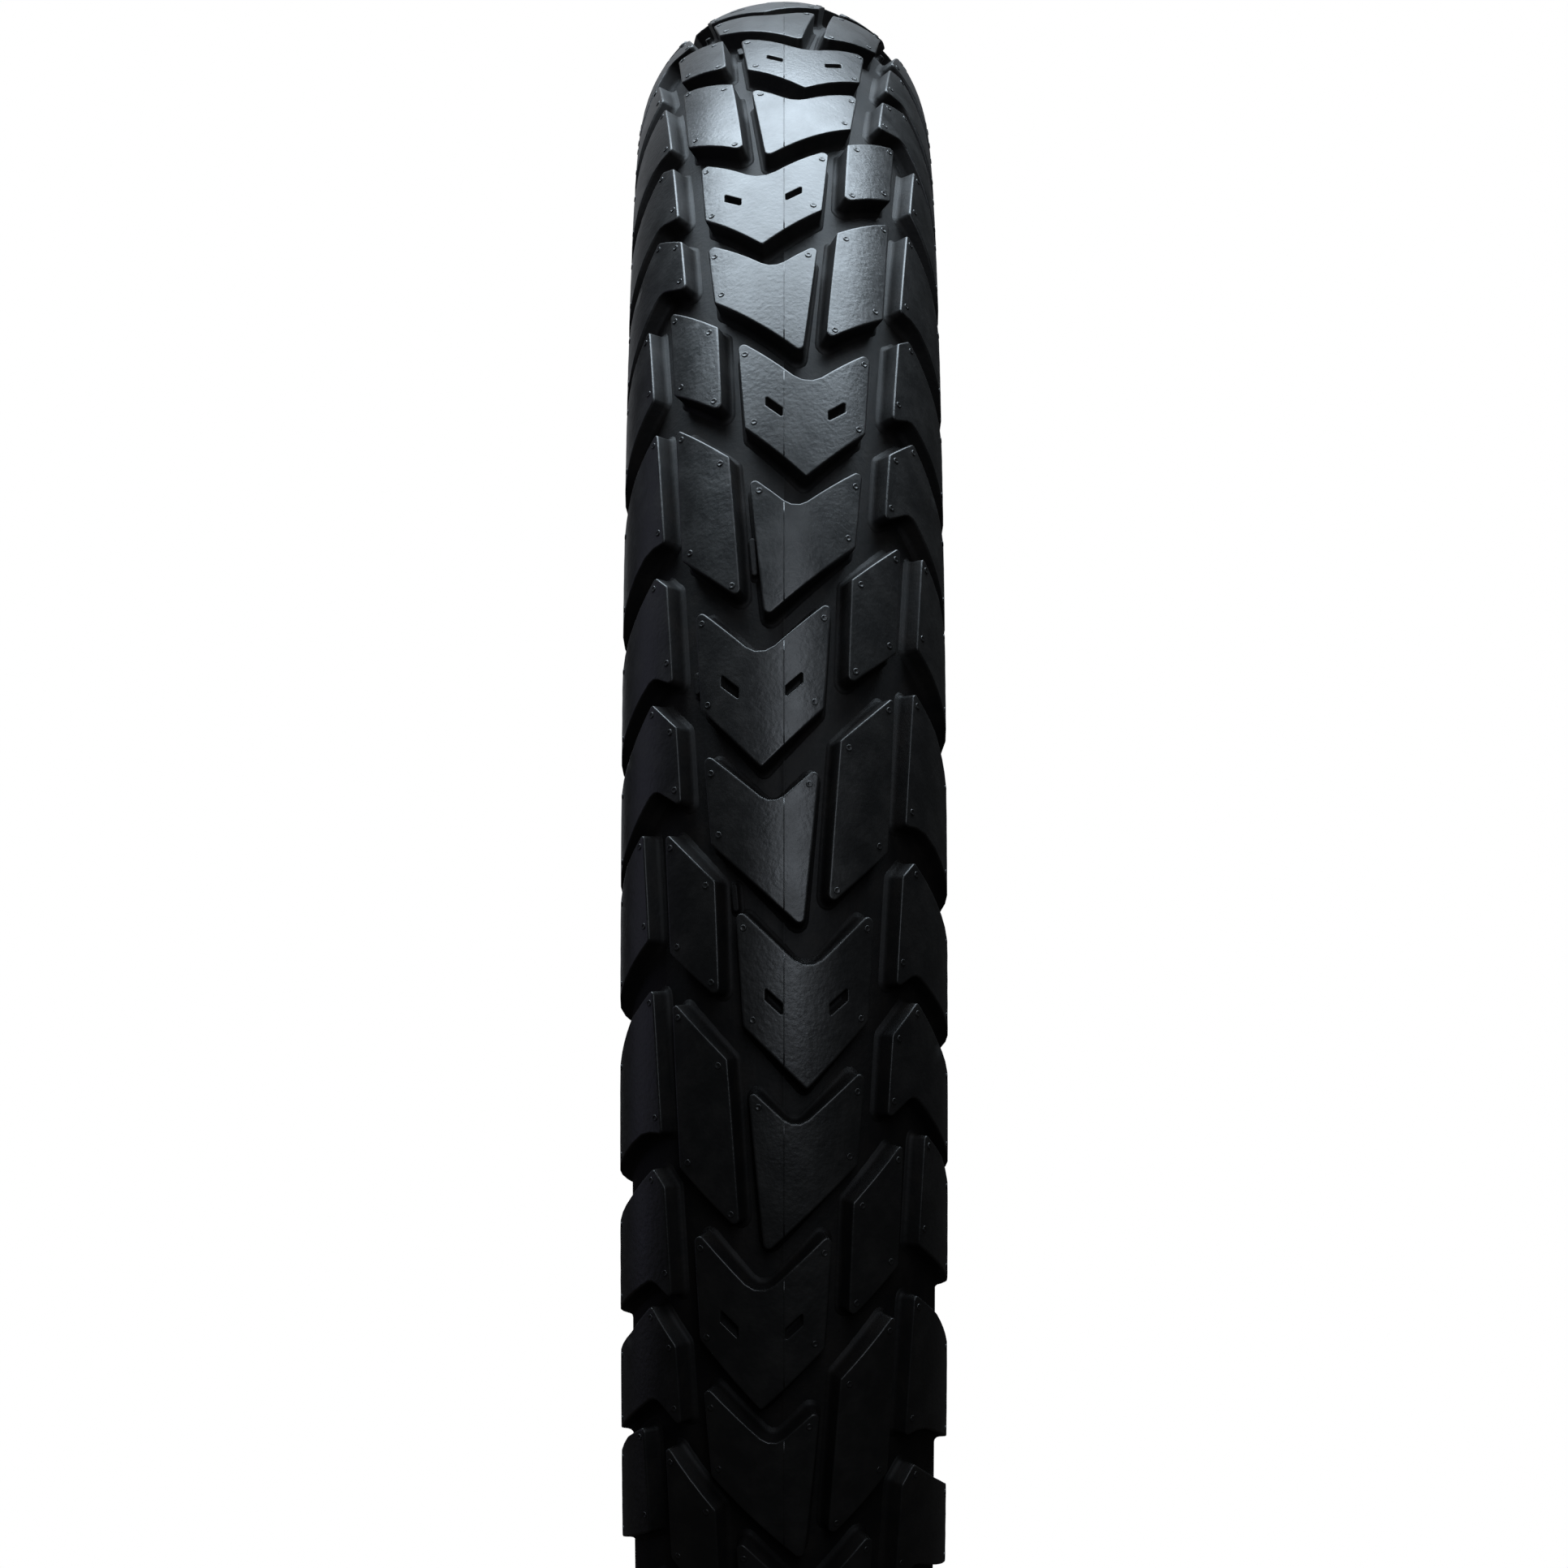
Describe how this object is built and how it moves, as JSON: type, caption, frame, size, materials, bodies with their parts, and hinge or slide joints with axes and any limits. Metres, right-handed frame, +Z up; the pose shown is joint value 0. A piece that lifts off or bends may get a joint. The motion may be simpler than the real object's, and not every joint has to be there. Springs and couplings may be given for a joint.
{
  "type": "motorcycle tire",
  "caption": "Dual-sport motorcycle tire with angular block tread, built up from plies, beads, sidewalls and liner, for a 21 inch rim.",
  "frame": {"origin": "middle of the tire: on the axle line, in the middle plane between the two beads", "axes": "+Y along the axle line towards the right side, +Z up, +X horizontal in the middle plane towards the front"},
  "size_m": [0.7, 0.094, 0.7],
  "materials": {
    "tread_rubber": "moulded satin black",
    "sidewall_rubber": "moulded satin black",
    "cushion_rubber": "matte",
    "liner_rubber": "smooth",
    "filler_rubber": "matte",
    "carcass_fabric": "rubber-coated nylon cord",
    "breaker_fabric": "rubber-coated aramid cord",
    "chafer_fabric": "rubber-coated square-woven nylon",
    "bead_steel": "bronze-coated drawn steel wire"
  },
  "bodies": {
    "root": {"tread": "tread_rubber", "undertread": "cushion_rubber", "breaker_ply_outer": "breaker_fabric", "breaker_ply_inner": "breaker_fabric", "breaker_edge_strip_right": "cushion_rubber", "breaker_edge_strip_left": "cushion_rubber", "carcass_ply_outer": "carcass_fabric", "carcass_ply_inner": "carcass_fabric", "inner_liner": "liner_rubber", "sidewall_right": "sidewall_rubber", "sidewall_left": "sidewall_rubber", "chafer_right": "chafer_fabric", "chafer_left": "chafer_fabric", "bead_wrap_right": "chafer_fabric", "bead_wrap_left": "chafer_fabric", "bead_filler_right": "filler_rubber", "bead_filler_left": "filler_rubber", "bead_insulation_right": "filler_rubber", "bead_insulation_left": "filler_rubber", "bead_wires_right": "bead_steel", "bead_wires_left": "bead_steel"}
  },
  "joints": []
}
